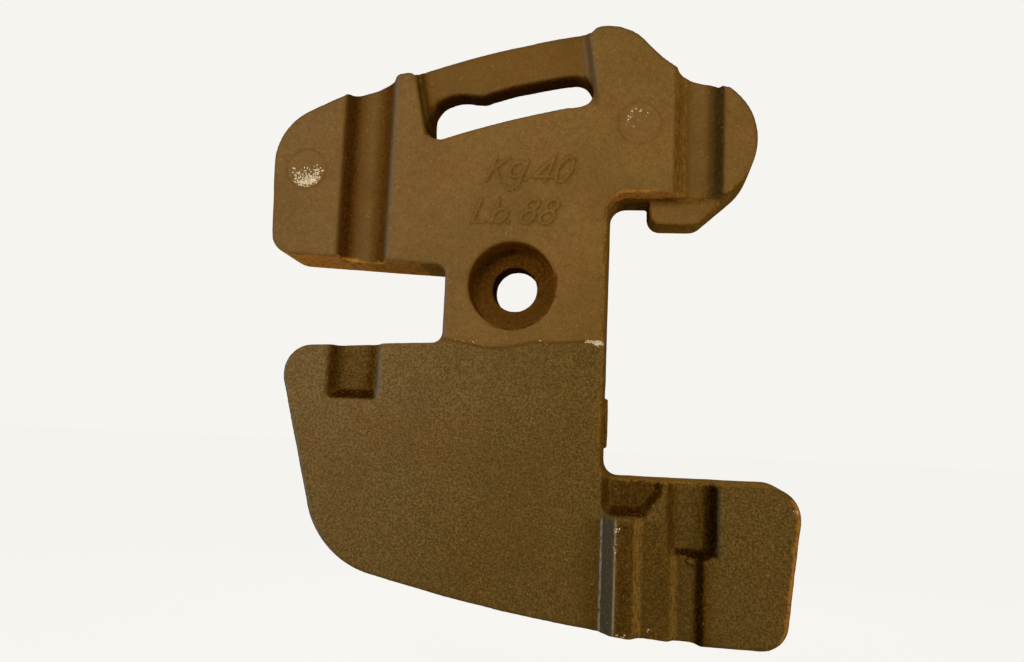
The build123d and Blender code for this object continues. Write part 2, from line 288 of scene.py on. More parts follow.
# Places that the mould rounds more than the solid: X range, depth range, Z range and rounds of softening.
# Depth is from the nearer face, and right of one X from the front. Then the soft edges of these places and
# how far a vertex moves towards its neighbours in one round
soft_places = (
    ((-136, -124), (5, 25), (10, 175), 26),
    ((-136, -124), (5, 25), (-90, -38), 26),
    ((-122, -92), (-2, 19), (24, 200), 40),
    ((-124, -96), (-1, 19), (-88, -50), 36),
    ((121, 154), (5, 25), (60, 200), 26),
    ((117, 157), (-1, 25), (-188.5, -146), 26),
    ((145, 157), (-1, 25), (-197, -184), 20),
    ((70, 120), (1, 25), (-175, -146), 22),
    ((124, 141), (5, 25), (-260, -202), 14),
    ((52, 74), (-2, 52), (188, 214), 34),
    ((-112, -78), (-2, 52), (165, 205), 30),
    ((42, 72), (-2, 16), (148, 214), 10),
    ((-102, -66), (-2, 16), (110, 200), 8),
    ((40, 64), (-2, 52), (136, 180), 26),
    ((-40, 40), (-2, 5), (-40, 40), 12),
)
front_only_x = 74
soft_edge = 3.0
soft_edge_depth = 1.5
soft_pull = 0.6

# Top outline as cast, where it leaves the solid: X, Z of the top there and how far it lies higher, and the
# depths under the top over which the shift begins and is full
top_outline = (
    (-139.5, 156, 0), (-137, 155, 1.4), (-133.5, 155, 2.1), (-127, 156, 1.6), (-123.5, 157, 0.7),
    (-117, 159, 0.9), (-110.6, 162.5, 1.7), (-105, 166, 2.7), (-100, 167, 2.2), (-96.5, 166, 1.6),
    (-93.5, 166.5, 0.7), (-90.3, 167, 0), (-87, 167, -1.4), (-84.5, 166, -3.4), (-82.5, 167, -2.0),
    (-80, 170, 0.3), (-75, 172, 0.8), (-60, 178, 0.5), (0, 190, 0.5), (42, 196, 0.8), (47, 196.5, 0.4),
    (50, 198, -2.5), (52, 199, -3.3), (54.4, 199, -3.3), (57, 201, -1.2), (58.5, 202.5, 0),
    (62, 203.5, 0.6), (66, 204, 0.7), (70, 204, 0.4), (73.5, 203.5, 0), (77, 203, -0.7),
    (81, 201, -1.0), (85, 200, -0.7), (93, 194.5, -0.6), (101, 186.5, -0.5), (108, 179, 0),
    (112, 176, 0.8), (116, 173, 1.1), (119.7, 170.5, 0.5), (124, 167, 0.3), (128.6, 167.5, 0.8),
    (131.7, 165.7, 0.2), (135.5, 164, 0.3), (139.3, 163, 0.7), (143, 162.5, 1.3), (147, 162, 2.0),
    (149.5, 161, 1.2), (152, 157, -0.8), (154.5, 155, -1.6), (156.5, 154.5, -1.8), (160, 154, -0.4),
    (167, 147, -0.5), (175, 137, 0),
)
top_outline_reach = (16, 3)

# Upper edge of the hand slot in the same way: X, Z of the edge there and how far it lies higher, and the
# heights over the edge and depths under it over which the shift begins and is full
slot_edge = (
    (-73, 131, 0), (-65, 148, 0), (-58.4, 155, -1.7), (-51.7, 157.5, -2.6), (-45, 158, -3.4),
    (-38.3, 158, -4.0), (-31.6, 156, -2.6), (-25, 157, -0.9), (-18, 159, -0.7), (-5, 162.4, -0.2),
    (8, 165, -0.7), (21, 167.4, -0.8), (34, 170, -0.9), (40.6, 171.5, -1.6), (47, 171.5, -2.6),
    (53.8, 166, -3.4), (57, 160, -3.0), (60, 158, 0),
)
slot_edge_reach = (16, 4)
slot_edge_below = (12, 8)
slot_edge_soft_x = 1

# Toe pocket as cast: how much lower its lower wall and how much further right its right wall lies than in
# the solid, between which X and Z that begins, is full and ends, and down to which Y
pocket_drop = 4.2
pocket_drop_x = (112, 147)
pocket_drop_soft_x = 5
pocket_drop_z = (-166, -186, -194, -218)
pocket_widening = 1.7
pocket_widening_x = (136, 150, 157, 178)
pocket_widening_z = (-198, -190)
pocket_top_z = (-130, -140)
pocket_y = (4, -6)

# Painted highlights along both edges of the toe rail's ramp, which is rubbed and painted with a sheen: X
# and half width, their edges in half widths, and the rail's place
rail_highlights = ((73.0, 0.8), (82.9, 0.7))
rail_highlight_edge = (1.4, 0.5)
rail_x = (69, 86)
rail_z = (-256, -170)
rail_soft_x = 0.5
rail_soft_z = 2.0
rail_y = (front_y + 1.5, front_y - 0.2)

# Painted shade at features, and dirt with painted shade in the nut seat: the share of each and its place.
# Round the pads' rims and the bead, along the mould step, right of the neck, round the marking's strokes
# with a painted shadow on their lower right, in the seat and darker towards its top, as a painted shadow
# along the lower right of the seat's rim, and in the bore. A rim or edge is measured from the feature's own
# radius or half width, and a ring from its middle. What has a soft edge is a range; in other pairs, the
# darkening begins at the first value and is full at the second
pad_rim_shade = 0.34
pad_rim = (-0.4, 0.8)
pad_rim_soft = 0.8
pad_rim_y = (front_y + 1.6, front_y + 1.0)
bead_shade = 0.85
bead_ring = (2.4, 4.2)
bead_ring_soft = 0.7
bead_ring_y = (12, 8)
step_shadow = 0.45
crack_depth = (-0.6, 1.2)
crack_soft = 0.8
crack_soft_x = 20
crack_middle_x = 10
crack_half_x = (72, 60)
# Painted shade round the raised strokes, with a painted shadow on their lower right
marking_shade = 0.60
marking_shade_y = (front_y + 2.5, front_y + 1.5)
stroke_rim = (-0.1, 0.7)
stroke_rim_soft = 0.5
stroke_all_round = 0.55
stroke_lower_side = 0.45
stroke_lower_edge = (0.8, -0.2)
stroke_lower_shift = 0.6
neck_shade = 0.16
neck_shade_x = (20, 72)
neck_shade_z = (-46, 20)
neck_shade_soft_z = 24
seat_radius = 34.0
seat_edge = (0.6, -1.0)
seat_y = (front_y + 1.3, front_y + 27)
seat_soft_y = 0.7
# Dirt and painted shade in the nut seat, darker towards its top
seat_wall_dirt_and_shade = 0.90
seat_floor_dirt_and_shade = 0.82
seat_floor_shade_lean = 0.22
# Painted shadow along the lower right of the seat's rim
seat_rim_shadow = 1.35
seat_rim = (-0.6, 0.5)
seat_rim_soft = 0.5
seat_rim_y = (front_y + 3, front_y + 2)
seat_rim_side = (0.1, 0.7)
# Painted shade in the bore
bore_radius = 17.5
bore_edge = (1.2, 0.4)
bore_shade = 1.25
bore_end_y = (24.6, 23.6)

# Edges of the bare pads, measured from their radius, and of the chips, in half sizes. Then the turn of the
# surface per millimetre that makes a worn edge or a corner darkened by dirt and painted shade, the shortest
# edge that is measured, and where the paint gets browner, to the right and to the bottom, which on the
# block also makes it darker as painted shade
pad_bare_edge = (0, -4)
pad_bare_side = (-0.5, 0.7)
chip_edge = (1.2, 0.7)
edge_turn = (0.08, 0.35)
shaded_corner_turn = (0.06, 0.30)
shortest_edge = 1e-6
brown_x = (-150, 90)
brown_z = (-60, -240)
brown_low_share = 0.5

# Noise in the paint: wavelength in millimetres, detail and roughness. Then the streaks of rust, the sizes
# of the grains, and how far and with how many samples ambient occlusion looks for the painted shade of
# corners
noises = {
    "blotch": (55, 3, 0.55),
    "tint": (32, 3, 0.55),
    "mottle": (9, 4, 0.6),
    "sand": (4.0, 4, 0.65),
    "grit": (1.7, 1, 0.5),
    "grain": (1.3, 2, 0.6),
    "fleck": (1.0, 1, 0.55),
}
streak_noise = (2.4, 3, 0.6)
streak_stretch = (1, 1, 0.30)
speck_size = 1.8
bare_grain_size = 1.3
occlusion_shade_reach = 12 * MM
occlusion_shade_samples = 8

# Colours as linear red, green and blue; a pair is for the two ends of the grain, and a tint multiplies the
# colour under it
left_paint = ((0.138, 0.072, 0.0222), (0.220, 0.121, 0.0392))
right_paint = ((0.156, 0.080, 0.0204), (0.249, 0.136, 0.0356))
# The block's paint turns darker to the right and towards the bottom, partly as painted shade for the weaker
# light low on the part
left_block = ((0.113, 0.0660, 0.0222), (0.260, 0.158, 0.0560))
right_block = ((0.089, 0.0508, 0.0112), (0.208, 0.122, 0.0284))
blotch_paint = (0.118, 0.061, 0.0150)
mottle_paint = (0.240, 0.136, 0.0400)
warm_tint = (1.10, 0.95, 0.85)
cool_tint = (0.90, 0.97, 0.95)
# Tints for dirt and painted shade, from thin to thick
thin_dirt_and_shade_tint = (0.96, 0.93, 0.66)
dirt_and_shade_tint = (0.42, 0.27, 0.10)
thick_dirt_and_shade_tint = (0.42, 0.36, 0.38)
# Lightens and warms the painted shade on the nut seat's wall
seat_wall_tint = (2.1, 2.1, 1.9)
crumb_paint = (0.24, 0.122, 0.028)
pit_tint = (0.50, 0.45, 0.45)
# Near black of the painted deep shade on the darkest walls
deep_shade_tint = (0.20, 0.20, 0.19)
# Rust, which on faces turned right, down and up also stands for painted warm light
rust_and_warm_light_paint = ((0.165, 0.080, 0.0120), (0.395, 0.216, 0.0390))
fresh_rust_and_warm_light_colour = (0.600, 0.240, 0.042)
worn_edge = (0.240, 0.120, 0.030)
# Rubbed iron with a painted cool sheen
rubbed_iron_and_sheen = (0.047, 0.046, 0.034)
# Painted cool sheen on lips turned left and forward
lip_sheen_colour = (0.150, 0.138, 0.115)
# Painted highlight lines on the rail's ramp
rail_highlight_colour = (0.300, 0.275, 0.225)
speck_sand = (0.36, 0.24, 0.095)
fleck_sand = (0.32, 0.195, 0.066)
bare_iron = ((0.74, 0.63, 0.42), (0.46, 0.33, 0.15))

# Weights of the noises that are added up for grain, patchy dirt and painted shade, rust and bare spots
fine_weights = (0.6, 0.4)
coarse_weights = (0.55, 0.45)
patchy_weights = (0.36, 0.30)
patchy_base = 0.67
rust_weights = (0.60, 0.40)
rust_patch_weights = (0.5, 0.5)
bare_sand_weight = 0.5
bare_weight = 1.25
whole_sand_weight = 0.3

# Values of noise, shade, dirt or bareness at which each layer begins and is full; a grain's edge is its
# distance from the middle, in grain sizes
fine_range = (0.24, 0.76)
coarse_range = (0.36, 0.72)
blotch_range = (0.58, 0.36)
mottle_range = (0.54, 0.76)
warm_range = (0.52, 0.68)
cool_range = (0.48, 0.32)
# Ambient occlusion at which the painted shade in recesses begins and is full
occlusion_shade_range = (0.82, 0.40)
patchy_sand_range = (0.25, 0.75)
patchy_grain_range = (0.30, 0.70)
thin_dirt_and_shade_range = (0.02, 0.38)
thick_dirt_and_shade_range = (0.98, 1.40)
crumb_range = (0.56, 0.76)
pit_range = (0.44, 0.28)
rust_range = (0.36, 0.62)
rust_patch_range = (0.32, 0.54)
fresh_range = (0.34, 0.54)
worn_range = (0.42, 0.66)
# Painted sheen on the rubbed ramp and on lips, and painted highlights on the rail
rubbed_and_sheen_range = (0.15, 0.45)
lip_sheen_range = (0.30, 0.58)
rail_highlight_range = (0.30, 0.50)
speck_edge = (0.55, 0.20)
speck_picked = (0.93, 0.97)
speck_range = (0.36, 0.60)
speck_clean = (1.10, 0.30)
fleck_range = (0.60, 0.80)
fleck_clean = (0.90, 0.40)
bare_picked = (0.12, 0.0)
bare_grain_edge = (0.62, 0.40)
bare_range = (0.02, 0.10)
whole_range = (1.02, 1.14)

# Shares of the layers in the paint
blotch_share = 0.25
mottle_share = 0.26
tint_share = 0.40
# Share of the painted shade from ambient occlusion
occlusion_shade_share = 0.48
# Share of dirt and painted shade in concave corners
corner_shade_share = 0.48
crumb_share = 0.34
pit_share = 0.7
# Share of rust, which also stands for painted warm light
rust_and_warm_light_share = 0.85
worn_share = 0.38
# Shares of the rubbed ramp's painted sheen and of the rail's painted highlights
rubbed_and_sheen_share = 0.90
rail_highlight_share = 0.62
speck_share = 0.40
fleck_share = 0.12
block_fleck_share = 0.42

# Grain of the surface as bump, the block's extra grain, and the paint's roughness
bump_strength = 0.5
bump_height = 0.8 * MM
grain_height = 0.35
sand_height = 0.25
block_sand_height = 0.15
paint_roughness = 0.70


def smooth(low, high, value):
    """Smooth ramp from 0 at low to 1 at high."""
    t = np.clip((value - low) / (high - low), 0, 1)
    return t * t * (3 - 2 * t)


def within(low, high, value, soft):
    """1 inside a range, falling to 0 over a soft edge."""
    return smooth(low - soft, low + soft, value) * smooth(high + soft, high - soft, value)


def beyond(size, offsets):
    """A size with each of two offsets."""
    return size + offsets[0], size + offsets[1]


def ring(centre, radii, start=0, end=360, count=20):
    """Points along an ellipse between two angles in degrees."""
    angles = np.radians(np.linspace(start, end, count + 1))
    return [(centre[0] + radii[0] * math.cos(a), centre[1] + radii[1] * math.sin(a)) for a in angles]


def marking_strokes():
    """Both lines of the mass marking as strokes of points in X and Z, with the letters' slope."""
    lines = (
        (
            [(0, 0), (0, 18.8)], [(9.8, 18.2), (0.8, 8.6)], [(2.6, 10.4), (10.6, 0)],
            ring((20.6, 9), (5.4, 6)),
            [(26.0, 15.6), (26.0, -1.5)] + ring((21.2, -1.8), (4.8, 4.8), -10, -150, 9),
            [(30.2, 0.8), (30.6, 1.0)],
            [(45.2, 18.6), (45.2, -0.6)], [(45.0, 18.4), (35.4, 3.4), (48.6, 3.4)],
            ring((56.6, 9.2), (5.4, 9.6)),
        ),
        (
            [(-0.6, 18.8), (0, 0), (9.4, 0)],
            [(13.6, 18.0), (14.4, 0.2)], ring((19.4, 5.2), (5.0, 5.2)),
            [(27.4, 0.4), (27.8, 0.6)],
            ring((40.6, 13.8), (4.5, 4.5)), ring((40.8, 4.4), (5.2, 4.9)),
            ring((55.6, 13.6), (4.5, 4.5)), ring((55.6, 4.2), (5.2, 4.9)),
        ),
    )
    return [
        [(start_x + u + letter_slope * v, start_z + v) for u, v in stroke]
        for (start_x, start_z), line in zip(line_starts, lines)
        for stroke in line
    ]


def points_of(mesh):
    """Vertex places in millimetres, and normals, as arrays."""
    count = len(mesh.vertices)
    places = np.zeros(count * 3, np.float32)
    normals = np.zeros(count * 3, np.float32)
    mesh.vertices.foreach_get("co", places)
    mesh.vertices.foreach_get("normal", normals)
    return places.reshape(-1, 3).astype(float) / MM, normals.reshape(-1, 3).astype(float)


def noise_at(places, wavelength, seed):
    """Gradient noise at each place, from about -1 to 1."""
    return np.array([noise.noise(Vector(p)) for p in places / wavelength + seed])


def stroke_distance(x, z):
    """Distance of each point from the nearest stroke of the marking."""
    nearest = np.full(len(x), np.inf)
    for stroke in marking_strokes():
        for (ax, az), (bx, bz) in zip(stroke, stroke[1:]):
            dx, dz = bx - ax, bz - az
            t = np.clip(((x - ax) * dx + (z - az) * dz) / (dx * dx + dz * dz), 0, 1)
            nearest = np.minimum(nearest, np.hypot(x - ax - t * dx, z - az - t * dz))
    return nearest


def near_marking(x, y, z):
    """Which points lie on the front face where the marking is."""
    beside = np.abs(x - marking_middle[0]) < marking_half[0]
    level = np.abs(z - marking_middle[1]) < marking_half[1]
    return beside & level & (y < front_y + marking_depth)


def evaluated(holder):
    """The mesh that an object's modifiers make."""
    graph = bpy.context.evaluated_depsgraph_get()
    graph.update()
    return bpy.data.meshes.new_from_object(holder.evaluated_get(graph))


def replace_mesh(holder, mesh):
    """Gives an object another mesh and no modifiers."""
    old = holder.data
    holder.modifiers.clear()
    holder.data = mesh
    bpy.data.meshes.remove(old)


def set_places(mesh, places):
    """Moves the vertices to places in millimetres."""
    mesh.vertices.foreach_set("co", (places * MM).astype(np.float32).ravel())
    mesh.update()


def below_step(x, z):
    """How far a point lies under the mould step, in millimetres."""
    line_x, line_z = np.array(step_line, float).T
    return np.interp(x, line_x, line_z) - z


def edge_ends(mesh):
    """The two vertex numbers of each edge."""
    ends = np.zeros(len(mesh.edges) * 2, np.int32)
    mesh.edges.foreach_get("vertices", ends)
    return ends.reshape(-1, 2).T


def soften(mesh):
    """Rounds edges and corners as loose sand does, by pulling each vertex towards its neighbours."""
    places, _ = points_of(mesh)
    x, y, z = places.T
    depth = np.where(x > front_only_x, y - front_y, np.minimum(y - front_y, -front_y - y))
    shares = []
    for x_range, depth_range, z_range, rounds in soft_places:
        share = within(*x_range, x, soft_edge) * within(*depth_range, depth, soft_edge_depth)
        shares.append((soft_pull * (share * within(*z_range, z, soft_edge)), rounds))
    first, second = edge_ends(mesh)
    count = len(places)
    neighbours = np.bincount(first, minlength=count) + np.bincount(second, minlength=count)
    for step in range(max(rounds for _, rounds in shares)):
        pull = np.maximum.reduce([share for share, rounds in shares if rounds > step])
        used = (pull[first] > 0) | (pull[second] > 0)
        start, end = first[used], second[used]
        moved = np.flatnonzero(pull)
        for k in range(3):
            along = places[:, k]
            total = np.bincount(start, along[end], count) + np.bincount(end, along[start], count)
            mean = total[moved] / neighbours[moved]
            places[moved, k] += pull[moved] * (mean - along[moved])
    set_places(mesh, places)


def sand_mesh(node):
    """The CAD form with the cast bead, remeshed finely."""
    mesh = node.data.copy()
    mesh.materials.clear()
    form = bmesh.new()
    form.from_mesh(mesh)
    bmesh.ops.remove_doubles(form, verts=form.verts, dist=merge_distance)
    bead = bmesh.ops.create_icosphere(form, subdivisions=3, radius=bead_radius)["verts"]
    bmesh.ops.translate(form, verts=bead, vec=bead_place)
    form.to_mesh(mesh)
    form.free()
    skin = bpy.data.objects.new("casting_skin", mesh)
    bpy.context.scene.collection.objects.link(skin)
    remesh = skin.modifiers.new("sand", "REMESH")
    remesh.mode = "VOXEL"
    remesh.voxel_size = voxel
    remesh.use_smooth_shade = True
    replace_mesh(skin, evaluated(skin))
    return skin


def move_edges(places):
    """Moves the top outline, the slot's upper edge and the toe pocket's walls to where they were cast."""
    x, y, z = places.T
    outline_x, outline_z, rise = np.array(top_outline, float).T
    under_top = np.interp(x, outline_x, outline_z) - z
    z += np.interp(x, outline_x, rise) * smooth(*top_outline_reach, under_top)

    edge_x, edge_z, rise = np.array(slot_edge, float).T
    over_edge = z - np.interp(x, edge_x, edge_z)
    reach = smooth(*slot_edge_reach, over_edge) * smooth(*slot_edge_below, -over_edge)
    z += np.interp(x, edge_x, rise) * reach * within(edge_x[0], edge_x[-1], x, slot_edge_soft_x)

    in_front = smooth(*pocket_y, y)
    begin, full, last, end = pocket_drop_z
    drop = smooth(begin, full, z) * smooth(end, last, z) * within(*pocket_drop_x, x, pocket_drop_soft_x)
    begin, full, last, end = pocket_widening_x
    widening = smooth(begin, full, x) * smooth(end, last, x)
    widening = widening * smooth(*pocket_widening_z, z) * smooth(*pocket_top_z, z)
    z -= pocket_drop * (drop * in_front)
    x += pocket_widening * (widening * in_front)


def mould_relief(places, normals):
    """How far the mould's unevenness, the step across the neck and the marking move each vertex out."""
    x, y, z = places.T
    face = smooth(*front_turn, -normals[:, 1]) * smooth(*face_y, y)
    under = below_step(x, z)
    shift = sum(size * noise_at(places, length, length) for length, size in wobble)
    block = sum(size * noise_at(places, length, length + block_seed) for length, size in block_wobble)
    shift += smooth(*block_begins, under) * block
    setback = step_setback * smooth(*step_begins, under) * smooth(*step_fades, under)
    shift -= setback * face * within(*step_x, x, step_soft_x)
    near = near_marking(x, y, z)
    away = stroke_distance(x[near], z[near])
    raised = smooth(*beyond(stroke_half_width, stroke_side), away)
    shift[near] += stroke_height * raised * face[near]
    return shift


def thin_out(skin, back):
    """Takes triangles from the mesh down to the limit, most of them on the flat of the back."""
    triangles = sum(len(polygon.vertices) - 2 for polygon in skin.data.polygons)
    behind = skin.vertex_groups.new(name="behind")
    for share, chosen in ((1.0, back), (front_share, ~back)):
        behind.add(np.flatnonzero(chosen).tolist(), share, "REPLACE")
    thin = skin.modifiers.new("thin", "DECIMATE")
    thin.ratio = min(1.0, triangle_limit / triangles)
    thin.vertex_group = behind.name
    thin.vertex_group_factor = 1.0
    replace_mesh(skin, evaluated(skin))
    skin.data.polygons.foreach_set("use_smooth", np.ones(len(skin.data.polygons), bool))


def make_casting(node):
    """The casting's skin: the CAD form remeshed finely, with the unevenness of a sand mould."""
    skin = sand_mesh(node)
    soften(skin.data)
    places, normals = points_of(skin.data)
    move_edges(places)
    places += normals * mould_relief(places, normals)[:, None]
    set_places(skin.data, places)
    thin_out(skin, (places[:, 1] > back_from_y) & (normals[:, 1] > back_facing))
    return skin


def convexity(mesh, places, normals):
    """Mean turn of the surface at each vertex: above 0 on outer edges, below 0 in corners."""
    first, second = edge_ends(mesh)
    run = places[second] - places[first]
    length = np.maximum(np.linalg.norm(run, axis=1), shortest_edge)
    turn = np.einsum("ij,ij->i", normals[second] - normals[first], run) / length**2
    total = np.bincount(first, turn, len(places)) + np.bincount(second, turn, len(places))
    share = np.bincount(first, minlength=len(places)) + np.bincount(second, minlength=len(places))
    return total / np.maximum(share, 1)


def zone_wear_and_light(places, normals):
    """Shares of each kind of wear and painted light from the zones and profiles."""
    x, y, z = places.T
    wear_and_light = {kind: np.zeros(len(x)) for kind in wear_and_light_kinds}
    for x_range, z_range, y_range, facing, shares in zones:
        turned = normals @ np.array(facing, float) / math.hypot(*facing)
        share = smooth(*(side_turn if facing[1] == 0 else slant_turn), turned)
        reach = within(*x_range, x, zone_soft) * within(*z_range, z, zone_soft)
        share *= reach * within(*y_range, y, zone_soft_y)
        for kind, strength in shares.items():
            wear_and_light[kind] = np.maximum(wear_and_light[kind], strength * share)
    for z_range, deepest, (start_x, start_z, lean), kind, pairs in profiles:
        line_x, line_share = np.array(pairs, float).T
        share = np.interp(x - start_x - lean * (z - start_z), line_x, line_share)
        reach = smooth(deepest + profile_soft_y, deepest - profile_soft_y, y)
        share *= within(*z_range, z, profile_soft_z) * reach
        wear_and_light[kind] = np.maximum(wear_and_light[kind], share * smooth(*back_turn, normals[:, 1]))
    return wear_and_light


def seat_shares(places, normals):
    """How much each vertex belongs to the nut seat, and to its wall."""
    x, y, z = places.T
    in_seat = smooth(*beyond(seat_radius, seat_edge), np.hypot(x, z)) * within(*seat_y, y, seat_soft_y)
    return in_seat, 1 - smooth(*front_turn, -normals[:, 1])


def seat_and_bore_dirt_and_shade_shares(places, normals):
    """Dirt and painted shade in the nut seat, darker towards its top, a painted shadow along the lower
    right of its rim, and painted shade in the bore.
    """
    x, y, z = places.T
    away = np.hypot(x, z)
    in_seat, wall = seat_shares(places, normals)
    floor_dirt_and_shade = seat_floor_dirt_and_shade + seat_floor_shade_lean * np.clip(z / seat_radius, -1, 1)
    dirt_and_shade = in_seat * (floor_dirt_and_shade + (seat_wall_dirt_and_shade - floor_dirt_and_shade) * wall)
    lower_right = (x - z) / (seat_radius * math.sqrt(2))
    rim = within(*beyond(seat_radius, seat_rim), away, seat_rim_soft) * smooth(*seat_rim_y, y)
    rim *= smooth(*seat_rim_side, lower_right) * smooth(*back_turn, normals[:, 1])
    in_bore = smooth(*beyond(bore_radius, bore_edge), away) * smooth(*bore_end_y, y)
    return np.maximum.reduce([dirt_and_shade, seat_rim_shadow * rim, bore_shade * in_bore])


def face_shade_shares(places, normals):
    """Painted shade on the face: right of the neck, round the bead and the pads' rims, and a painted shadow
    in the crack of the mould step.
    """
    x, y, z = places.T
    face = smooth(*face_turn, -normals[:, 1])
    neck = smooth(*neck_shade_x, x) * within(*neck_shade_z, z, neck_shade_soft_z)
    neck *= smooth(*front_turn, -normals[:, 1])
    bead_x, _, bead_z = bead_place / MM - Vector((0, 0, pocket_drop))
    bead = within(*bead_ring, np.hypot(x - bead_x, z - bead_z), bead_ring_soft) * smooth(*bead_ring_y, y)
    crack = within(*crack_depth, below_step(x, z), crack_soft) * face
    crack *= within(*step_x, x, crack_soft_x) * smooth(*crack_half_x, np.abs(x - crack_middle_x))
    dirt_and_shade = np.maximum.reduce([neck_shade * neck, bead_shade * bead, step_shadow * crack])
    for (pad_x, pad_z), radius, _, _ in pads:
        rim = within(*beyond(radius, pad_rim), np.hypot(x - pad_x, z - pad_z), pad_rim_soft)
        rim *= smooth(*pad_rim_y, y) * face
        dirt_and_shade = np.maximum(dirt_and_shade, pad_rim_shade * rim)
    return dirt_and_shade


def marking_shade_shares(places):
    """Painted shade beside the strokes of the marking, most as a painted shadow on their lower right."""
    x, y, z = places.T
    near = near_marking(x, y, z)
    away = stroke_distance(x[near], z[near])
    lower = stroke_distance(x[near] - stroke_lower_shift, z[near] + stroke_lower_shift)
    lower_side = smooth(*beyond(stroke_half_width, stroke_lower_edge), lower)
    beside = within(*beyond(stroke_half_width, stroke_rim), away, stroke_rim_soft)
    beside *= stroke_all_round + stroke_lower_side * lower_side
    dirt_and_shade = np.zeros(len(x))
    dirt_and_shade[near] = marking_shade * beside * smooth(*marking_shade_y, y[near])
    return dirt_and_shade


def bare_shares(places, normals):
    """How bare the pads and the chipped spots are."""
    x, _, z = places.T
    bare = np.zeros(len(x))
    for (pad_x, pad_z), radius, (side_x, side_z), strength in pads:
        away = np.hypot(x - pad_x, z - pad_z)
        side = ((x - pad_x) * side_x + (z - pad_z) * side_z) / radius / math.hypot(side_x, side_z)
        share = strength * smooth(*beyond(radius, pad_bare_edge), away) * smooth(*pad_bare_side, side)
        bare = np.maximum(bare, share)
    for chip_x, chip_z, half_length, half_width, strength in chips:
        away = np.hypot((x - chip_x) / half_length, (z - chip_z) / half_width)
        bare = np.maximum(bare, strength * smooth(*chip_edge, away))
    return bare * smooth(*face_turn, -normals[:, 1])


def mark_wear_and_light(skin):
    """Stores on each vertex how dirty, rusty, rubbed, worn and bare the skin is, and its painted shade,
    sheen, highlights and warm light.
    """
    mesh = skin.data
    places, normals = points_of(mesh)
    x, y, z = places.T
    wear_and_light = zone_wear_and_light(places, normals)
    in_seat, seat_wall = seat_shares(places, normals)
    turn = convexity(mesh, places, normals)
    dirt_and_shade = [
        wear_and_light["dirt_and_shade"],
        seat_and_bore_dirt_and_shade_shares(places, normals),
        face_shade_shares(places, normals),
        marking_shade_shares(places),
    ]
    rail = within(*rail_x, x, rail_soft_x) * within(*rail_z, z, rail_soft_z) * smooth(*rail_y, y)
    values = {
        **wear_and_light,
        "dirt_and_shade": np.maximum.reduce(dirt_and_shade),
        "bare": bare_shares(places, normals),
        # The nut seat's wall, where a tint lightens and warms the painted shade
        "warm": in_seat * seat_wall,
        "edge": smooth(*edge_turn, turn),
        # Concave corners, darkened as dirt and painted shade
        "corner": smooth(*shaded_corner_turn, -turn),
        "rough": smooth(*block_paint_begins, below_step(x, z)),
        "brown": smooth(*brown_x, x) + brown_low_share * smooth(*brown_z, z),
        "rail": rail,
    }
    for name, value in values.items():
        mesh.attributes.new(name, "FLOAT", "POINT").data.foreach_set("value", value.astype(np.float32))


class Nodes:
    """Short calls for building a node tree."""

    def __init__(self, owner):
        owner.use_nodes = True
        self.tree = owner.node_tree
        self.tree.nodes.clear()

    def add(self, kind, **settings):
        node = self.tree.nodes.new(kind)
        for name, value in settings.items():
            setattr(node, name, value)
        return node

    def link(self, source, target):
        self.tree.links.new(source, target)

    def noise(self, place, wavelength, detail, roughness):
        """Noise with a wavelength in millimetres, from 0 to 1."""
        node = self.add("ShaderNodeTexNoise")
        node.inputs["Scale"].default_value = 1 / (wavelength * MM)
        node.inputs["Detail"].default_value = detail
        node.inputs["Roughness"].default_value = roughness
        self.link(place, node.inputs["Vector"])
        return node.outputs["Fac"]

    def cells(self, place, size):
        """Random grains of a size in millimetres: distance from a grain's middle, and its random value."""
        node = self.add("ShaderNodeTexVoronoi")
        node.inputs["Scale"].default_value = 1 / (size * MM)
        self.link(place, node.inputs["Vector"])
        split = self.add("ShaderNodeSeparateColor")
        self.link(node.outputs["Color"], split.inputs["Color"])
        return node.outputs["Distance"], split.outputs["Red"]

    def ramp(self, value, low, high):
        """Value mapped to 0 at low and 1 at high."""
        node = self.add("ShaderNodeMapRange", interpolation_type="SMOOTHSTEP")
        node.inputs["From Min"].default_value = low
        node.inputs["From Max"].default_value = high
        self.link(value, node.inputs["Value"])
        return node.outputs["Result"]

    def math(self, operation, first, second):
        """One operation on two sockets or numbers."""
        node = self.add("ShaderNodeMath", operation=operation)
        for socket, value in zip(node.inputs, (first, second)):
            if isinstance(value, (int, float)):
                socket.default_value = value
            else:
                self.link(value, socket)
        return node.outputs["Value"]

    def plus(self, first, second):
        return self.math("ADD", first, second)

    def weighted(self, first, second, weights):
        """Sum of two sockets, each times its weight."""
        return self.plus(self.times(first, weights[0]), self.times(second, weights[1]))

    def largest(self, first, second):
        return self.math("MAXIMUM", first, second)

    def times(self, first, *others):
        for other in others:
            first = self.math("MULTIPLY", first, other)
        return first

    def mix(self, share, first, second, blend="MIX"):
        """Colour mix; first and second are sockets or RGB triples."""
        node = self.add("ShaderNodeMix", data_type="RGBA", blend_type=blend)
        self.link(share, node.inputs[0])
        for socket, value in zip(node.inputs[6:8], (first, second)):
            if isinstance(value, tuple):
                socket.default_value = (*value, 1)
            else:
                self.link(value, socket)
        return node.outputs[2]

    def tint(self, share, paint, colour):
        """Paint multiplied by a colour, by a share."""
        return self.mix(share, paint, colour, "MULTIPLY")

    def attribute(self, name):
        return self.add("ShaderNodeAttribute", attribute_name=name).outputs["Fac"]


